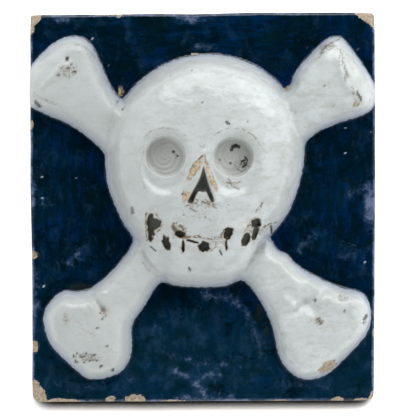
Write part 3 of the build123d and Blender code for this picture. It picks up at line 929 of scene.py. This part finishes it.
def stretched(place, scale):
    """The place in mm, squeezed along an axis so that noise turns into brush strokes."""
    return add_node("Mapping", {"Vector": place, "Scale": scale}, vector_type="POINT").outputs[0]


def cloud(place, size, detail=3.0, roughness=0.55, distortion=0.0):
    """Soft noise whose blobs are about size mm across."""
    sockets = {"Vector": place, "Scale": 1 / size, "Detail": detail, "Roughness": roughness,
               "Distortion": distortion}
    return add_node("TexNoise", sockets).outputs["Fac"]


def speck_distance(place, scale):
    """Distance to the nearest of many scattered points, scale of them to a mm, in cell widths."""
    return add_node("TexVoronoi", {"Vector": place, "Scale": scale}).outputs["Distance"]


def paint(amount, under, over):
    """Lays one colour over another by an amount from 0 to 1."""
    node = add_node("Mix", {"Factor": amount}, data_type="RGBA")
    for socket, value in ((node.inputs[6], under), (node.inputs[7], over)):
        if isinstance(value, bpy.types.NodeSocket):
            tree.links.new(value, socket)
        else:
            socket.default_value = (*value, 1)
    return node.outputs[2]


def layer(under, pattern, start, full, share, over):
    """Lays a colour over another where a pattern runs from start to full, up to a share."""
    return paint(between(pattern, start, full, 0.0, share), under, over)


# %% Start the glaze material
glaze = bpy.data.materials.new("tin_glaze_and_cobalt")
glaze.use_nodes = True
tree = glaze.node_tree
tree.nodes.clear()
output = add_node("OutputMaterial")
in_metres = add_node("TexCoord").outputs["Object"]
place = stretched(in_metres, (millimetres, millimetres, millimetres))
across_the_tile = along_axis(place, "X")
up_the_tile = along_axis(place, "Y")

inside_relief = number_on_mesh("inside_relief")
edge_wander = 1.5
wander = calculate("MULTIPLY_ADD", cloud(place, 2.4), edge_wander, -edge_wander / 2)
painted_edge = plus(inside_relief, wander)
white_here = between(painted_edge, -0.35, 0.45)
print("the painted edge wanders over", edge_wander, "mm")

# %% [markdown]
# The brush ran up and down beside the skull, sideways along the top and the bottom, and
# round the outline close to the relief. So there are three sets of strokes: two of noise
# squeezed across the brush's way, and one that follows the distance to the relief.

# %% Strokes of the brush
strokes_up = cloud(stretched(place, (0.40, 0.10, 0.3)), 1.0, 5.0, 0.6, 0.15)
strokes_across = cloud(stretched(place, (0.09, 0.38, 0.3)), 1.0, 5.0, 0.6, 0.15)
stroke_mix = blend_values(number_on_mesh("sideways_strokes"), strokes_up, strokes_across)
from_outline = add_node("CombineXYZ", {"X": times(inside_relief, 0.55)}).outputs[0]
slow_place = stretched(place, (0.05, 0.05, 0.05))
outline_place = add_node("VectorMath", {0: from_outline, 1: slow_place}).outputs[0]
outline_strokes = cloud(outline_place, 1.0, 4.0, 0.6, 0.1)
near_outline = between(inside_relief, -12.0, -4.0, 0.0, 0.7)
strokes = blend_values(near_outline, stroke_mix, outline_strokes)
print("strokes:", len(tree.nodes), "nodes")

# %% [markdown]
# Cobalt is nearly black where it lies thick, and clear blue where it is thin. It pooled,
# went smoky towards the foot, and turned green-black in blots.

# %% Brushed cobalt
green_black, petrol, cobalt = (0.0001, 0.0066, 0.0108), (0.0, 0.0125, 0.0360), (0.0002, 0.0170, 0.0720)
clear_blue, foot_blue = (0.0012, 0.0290, 0.0820), (0.0024, 0.0252, 0.0445)
sea_green, ink = (0.0016, 0.0120, 0.0125), (0.0002, 0.0050, 0.0080)
slate, milky = (0.018, 0.050, 0.105), (0.150, 0.185, 0.300)
depth_of_blue = cloud(place, 15.0, 5.0, 0.6, 0.2)
pools = cloud(stretched(place, (1.0, 1.0, 2.0)), 24.0, 4.0, 0.6, 0.3)
smoke = cloud(stretched(place, (1.0, 0.7, 3.0)), 8.0, 6.0, 0.68, 0.3)
algae = cloud(place, 17.0, 5.0, 0.65, 0.2)
blots = cloud(stretched(place, (0.06, 0.11, 0.2)), 1.0, 5.0, 0.7, 0.6)
low_wash = between(up_the_tile, -50.0, -75.0, 0.0, 0.45)
smoke = plus(smoke, times(low_wash, 0.18))

blue = paint(between(depth_of_blue, 0.36, 0.60), green_black, petrol)
blue = layer(blue, pools, 0.44, 0.68, 0.8, cobalt)
blue = layer(blue, strokes, 0.58, 0.40, 0.7, green_black)
blue = layer(blue, strokes, 0.56, 0.72, 0.5, clear_blue)
blue = paint(low_wash, blue, foot_blue)
blue = layer(blue, smoke, 0.50, 0.80, 0.6, slate)
blue = layer(blue, algae, 0.50, 0.70, 0.65, sea_green)
blue = layer(blue, blots, 0.55, 0.68, 0.8, ink)
print("cobalt:", len(tree.nodes), "nodes")

# %% [markdown]
# Over the strokes lie the milky places, where the white shows through: along the rim of
# the slab, and where the blue is thin. Dust adds bright specks, and dirt an olive film.

# %% Thin places, dust and dirt on the blue
spark_white, dust_white, olive = (0.50, 0.58, 0.70), (0.60, 0.70, 0.82), (0.018, 0.023, 0.014)
mottle = cloud(place, 4.5, 6.0, 0.8, 0.3)
rim_wash = between(number_on_mesh("from_rim"), 2.6, 0.4, 0.0, 0.42)
rim_wash = times(rim_wash, between(cloud(place, 22.0), 0.36, 0.60, 0.3, 1.0))
thin_here = times(number_on_mesh("thin_blue"), 0.38)
milk_pattern = plus(calculate("MAXIMUM", thin_here, rim_wash), mottle)
blue = layer(blue, milk_pattern, 0.56, 0.86, 0.75, slate)
blue = layer(blue, milk_pattern, 0.70, 0.98, 0.85, milky)
blue = layer(blue, speck_distance(place, 0.035), 0.020, 0.011, 0.9, spark_white)
blue = paint(number_on_mesh("dust"), blue, dust_white)
dirt_amount = number_on_mesh("dirt")
dirty_mottle = plus(times(dirt_amount, 0.4), mottle)
blue = layer(blue, dirty_mottle, 0.66, 1.0, 0.6, olive)
print("blue:", len(tree.nodes), "nodes")

# %% [markdown]
# The white is greyer in broad smears, lighter and darker in small curds, lilac near the blue, and stained in
# a narrow rim where the blue brush touched it. Towards the left it darkens, which is painted shade.

# %% White tin glaze
fresh, greyed, smeared = (0.585, 0.622, 0.622), (0.495, 0.530, 0.520), (0.42, 0.448, 0.412)
pale_curd, dark_curd = (0.70, 0.73, 0.73), (0.36, 0.375, 0.335)
left_painted_shade, lilac, blue_stain = (0.445, 0.473, 0.463), (0.53, 0.575, 0.65), (0.30, 0.35, 0.425)
smears = cloud(stretched(place, (0.10, 0.24, 0.2)), 1.0, 6.0, 0.68, 0.4)
white = paint(between(cloud(place, 14.0, 4.0), 0.35, 0.7), fresh, greyed)
white = layer(white, smears, 0.45, 0.68, 0.7, smeared)
white = layer(white, cloud(place, 3.2, 5.0, 0.7), 0.54, 0.74, 0.4, pale_curd)
white = layer(white, cloud(place, 1.9, 5.0, 0.8), 0.50, 0.72, 0.35, dark_curd)
# painted shade: the white darkens towards the left
white = layer(white, across_the_tile, 50.0, -70.0, 0.65, left_painted_shade)
halo_strength = between(cloud(place, 24.0), 0.36, 0.62, 0.25, 0.9)
halo = times(between(painted_edge, 4.8, 0.5), halo_strength)
white = paint(halo, white, lilac)
white = layer(white, painted_edge, 2.3, 0.2, 0.9, blue_stain)
print("white:", len(tree.nodes), "nodes")

# %% [markdown]
# Dirt only stays where the glaze is rough, so it breaks up into specks and tiny pinholes,
# and the brown lines fade in and out.

# %% Specks, dirt and brown lines on the white
speck_grey, brown_dirt, line_brown = (0.30, 0.31, 0.29), (0.20, 0.165, 0.115), (0.17, 0.115, 0.070)
pin_black = (0.07, 0.062, 0.048)
white = layer(white, cloud(place, 0.9, 2.0, 0.7), 0.66, 0.80, 0.55, speck_grey)
dirt_pattern = plus(times(dirt_amount, 0.36), cloud(place, 1.3, 5.0, 0.72))
white = layer(white, dirt_pattern, 0.68, 0.96, 0.8, brown_dirt)
line_breaks = between(cloud(place, 2.2, 4.0, 0.7), 0.36, 0.58)
lines_here = times(number_on_mesh("brown_lines"), line_breaks)
white = layer(white, lines_here, 0.0, 0.8, 1.0, line_brown)
fine_pins = between(speck_distance(place, 0.42), 0.24, 0.12)
fine_pins = times(fine_pins, between(dirt_pattern, 0.72, 0.90))
white = paint(fine_pins, white, pin_black)
print("dirt:", len(tree.nodes), "nodes")

# %% [markdown]
# The floors of the eyes are painted shade: grey, lighter at the top than at the bottom, with specks of dirt
# on them. Each tooth gap goes from brown at its lip to near black inside; the nose hollow stays grey.

# %% Sockets, hollows and tooth gaps
shaded_floor, lit_floor, floor_dirt = (0.52, 0.53, 0.505), (0.64, 0.65, 0.62), (0.14, 0.125, 0.10)
lip_brown, gap_black = (0.26, 0.20, 0.135), (0.060, 0.066, 0.054)
nose_grey, hole_black = (0.33, 0.35, 0.32), (0.045, 0.042, 0.033)
# painted shade: the eye floors are grey, lighter at the top and darker at the bottom
socket_floor_painted_shade = paint(between(up_the_tile, 19.0, 39.0), shaded_floor, lit_floor)
in_socket = times(number_on_mesh("socket"), 0.85)
white = paint(in_socket, white, socket_floor_painted_shade)
socket_dirt = times(between(dirt_pattern, 0.64, 0.92, 0.0, 0.6), in_socket)
white = paint(socket_dirt, white, floor_dirt)
in_nose = number_on_mesh("nose_hollow")
hollow = calculate("MAXIMUM", number_on_mesh("tooth_gap"), in_nose)
hollow = plus(hollow, times(cloud(place, 1.6), 0.3))
white = layer(white, hollow, 0.12, 0.7, 0.8, lip_brown)
white = layer(white, hollow, 0.65, 1.0, 1.0, gap_black)
white = paint(times(in_nose, 0.85), white, nose_grey)
worn_pins = between(cloud(place, 1.7, 4.0, 0.7), 0.30, 0.46, 0.6, 1.0)
white = paint(times(number_on_mesh("pinholes"), worn_pins), white, hole_black)
print("hollows:", len(tree.nodes), "nodes")

# %% [markdown]
# Under it all is the clay. It shows in tan patches where the glaze was scraped, and fully
# in the chips, whose edges break up with the clay's grain.

# %% Put blue, white and clay together
tan, rust = (0.50, 0.385, 0.25), (0.27, 0.19, 0.115)
dark_clay, pale_clay = (0.25, 0.20, 0.14), (0.48, 0.405, 0.31)
colour = paint(white_here, blue, white)
scraped_patches = between(cloud(place, 1.8), 0.32, 0.50)
scraped_here = times(number_on_mesh("scraped"), scraped_patches)
scraped_clay = paint(between(cloud(place, 2.2, 4.0, 0.7), 0.42, 0.62), tan, rust)
colour = paint(scraped_here, colour, scraped_clay)
clay_grain = cloud(place, 1.4, 5.0, 0.65)
clay = paint(between(clay_grain, 0.35, 0.65), dark_clay, pale_clay)
clay_edge = plus(number_on_mesh("bare_clay"), times(clay_grain, 0.3))
clay_mask = between(clay_edge, 0.55, 0.75)
colour = paint(clay_mask, colour, clay)
print("colour:", len(tree.nodes), "nodes")

# %% [markdown]
# Glaze is glossy and clay is dry. The glaze ripples a little, has the fine peel of an
# orange, and stands higher along the strokes of the blue. Half a millimetre of bump does.

# %% Gloss and surface of the glaze
dry_roughness, glaze_index, bump_height = 0.9, 1.5, 0.0005
dry = calculate("MAXIMUM", clay_mask, times(scraped_here, 0.8))
gloss = between(cloud(place, 5.0), 0.3, 0.7, 0.06, 0.15)
roughness = blend_values(dry, gloss, dry_roughness)
ripple = times(cloud(place, 6.0, 2.0), 0.8)
peel = times(cloud(place, 1.6, 2.0), 0.12)
stroke_height = calculate("SUBTRACT", 0.5, times(white_here, 0.45))
relief_height = plus(plus(ripple, peel), times(strokes, stroke_height))
relief_height = plus(relief_height, times(clay_grain, times(dry, 0.5)))
bump = add_node("Bump", {"Strength": 1.0, "Distance": bump_height, "Height": relief_height}).outputs[0]
shader = add_node(
    "BsdfPrincipled", {"Base Color": colour, "Roughness": roughness, "Normal": bump, "IOR": glaze_index}
)
tree.links.new(shader.outputs[0], output.inputs["Surface"])
skin_mesh.materials.append(glaze)
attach(glazed_tile, "root")
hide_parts("tile")
print("glaze has", len(tree.nodes), "nodes")

# %% [markdown]
# A copy stand: the tile lies on white paper, which the camera sees brighter than a lamp makes it, while the
# light it throws back is that of ordinary paper. The soft dark line below the foot of the tile is painted
# shade: an ambient-occlusion reading that leans towards the top is mapped to a dark colour, and above the
# tile's foot line the paper is kept fully bright.

# %% Paper
foot_line, line_end, shade_reach = -0.1100, -0.1145, 0.0095
leaning_up = (0.766, 0.643)
bpy.ops.mesh.primitive_plane_add(size=4.0, location=(0, 0, 0))
paper = bpy.context.object
paper.name = "paper"
paper_material = bpy.data.materials.new("white_paper")
paper_material.use_nodes = True
tree = paper_material.node_tree
tree.nodes.clear()
paper_output = add_node("OutputMaterial")
seen = add_node("LightPath").outputs["Is Camera Ray"]
matte = add_node("BsdfDiffuse", {"Color": (0.8, 0.8, 0.8, 1)}).outputs[0]
towards_the_top = add_node("CombineXYZ", {"Y": leaning_up[0], "Z": leaning_up[1]}).outputs[0]
reach_and_way = {"Distance": shade_reach, "Normal": towards_the_top}
# painted shade: the occlusion reading, leaning towards the top, becomes the dark line below the tile
openness = add_node("AmbientOcclusion", reach_and_way, samples=16).outputs["AO"]
up_the_paper = along_axis(add_node("TexCoord").outputs["Object"], "Y")
beside_the_tile = between(up_the_paper, line_end, foot_line)
core_shade = between(openness, 0.415, 0.80, 0.003, 0.6)
soft_shade = between(openness, 0.70, 0.90, 0.0, 0.4)
contact_shade = calculate("MAXIMUM", plus(core_shade, soft_shade), beside_the_tile)
bright = add_node("BsdfDiffuse", {"Color": contact_shade}).outputs[0]
overexposed = add_node("AddShader", {0: bright, 1: bright}).outputs[0]
as_seen = add_node("MixShader", {0: seen, 1: matte, 2: overexposed}).outputs[0]
tree.links.new(as_seen, paper_output.inputs["Surface"])
paper.data.materials.append(paper_material)
print("paper lies", round(1000 * paper.location.z, 1), "mm below the tile's back")

# %% [markdown]
# One long softbox stands beyond the top edge and gives the skull its highlight. Three
# low boards lighten the other sides and don't mirror in the glaze. A flat glossy ground
# mirrors what is straight above it, so the room is dark overhead and the blue stays deep.


# %% Lamps
def softbox(name, stand, aim, width, length, radiance):
    """A rectangular lamp of even radiance: power is radiance times pi times area."""
    lamp = bpy.data.lights.new(name, "AREA")
    lamp.shape = "RECTANGLE"
    lamp.size, lamp.size_y = width, length
    lamp.energy = radiance * math.pi * width * length
    holder = bpy.data.objects.new(name, lamp)
    holder.location = stand
    toward = np.array(aim) - np.array(stand)
    toward = toward / np.linalg.norm(toward)
    holder.rotation_euler = (math.acos(-toward[2]), 0, math.atan2(-toward[0], toward[1]))
    bpy.context.scene.collection.objects.link(holder)
    return holder


tile_middle, board_side = (0, 0, 0.03), 1.2
softbox("long_softbox", (0.25, 1.12, 0.84), tile_middle, 2.1, 0.95, 3.25)
# (name, where it stands, radiance)
boards = [
    ("left_fill", (-1.2, 0, 0.35), 2.0),
    ("right_fill", (1.2, 0, 0.35), 2.3),
    ("low_fill", (0, -1.2, 0.35), 2.2),
]
for name, stand, radiance in boards:
    board = softbox(name, stand, tile_middle, board_side, board_side, radiance)
    board.visible_glossy = False
print("one softbox and", len(boards), "boards")

# %% Room
room_light, dark_above, light_below = 0.43, 0.955, 0.80
world = bpy.data.worlds.new("dim_room")
bpy.context.scene.world = world
world.use_nodes = True
tree = world.node_tree
tree.nodes.clear()
upward = along_axis(add_node("TexCoord").outputs["Generated"], "Z")
brightness = between(upward, dark_above, light_below, 0.0, room_light)
dim = add_node("Background", {"Color": (0.95, 0.97, 1, 1), "Strength": brightness}).outputs[0]
plain = add_node("Background", {"Color": (1, 1, 1, 1), "Strength": 1.0}).outputs[0]
camera_sees = add_node("LightPath").outputs["Is Camera Ray"]
room = add_node("MixShader", {0: camera_sees, 1: dim, 2: plain}).outputs[0]
tree.links.new(room, add_node("OutputWorld").inputs["Surface"])
print("room light", room_light, "at the sides, none overhead")

# %% [markdown]
# The camera hangs straight above the tile, far off with a long lens, so its sides hardly
# show.

# %% Camera straight above
frame_centre, frame_long_side = (-0.0016, -0.0010), 0.2436
camera_height, sensor_width, view_limit = 2.0, 36.0, 20
camera_data = bpy.data.cameras.new("overhead")
camera_data.sensor_width = sensor_width
camera_data.lens = sensor_width * camera_height / frame_long_side
camera_data.clip_end = view_limit
camera = bpy.data.objects.new("overhead", camera_data)
camera.location = (*frame_centre, ground / millimetres + camera_height)
bpy.context.scene.collection.objects.link(camera)
bpy.context.scene.camera = camera
bpy.context.scene.view_settings.view_transform = "Standard"
print("lens", round(camera_data.lens), "mm")
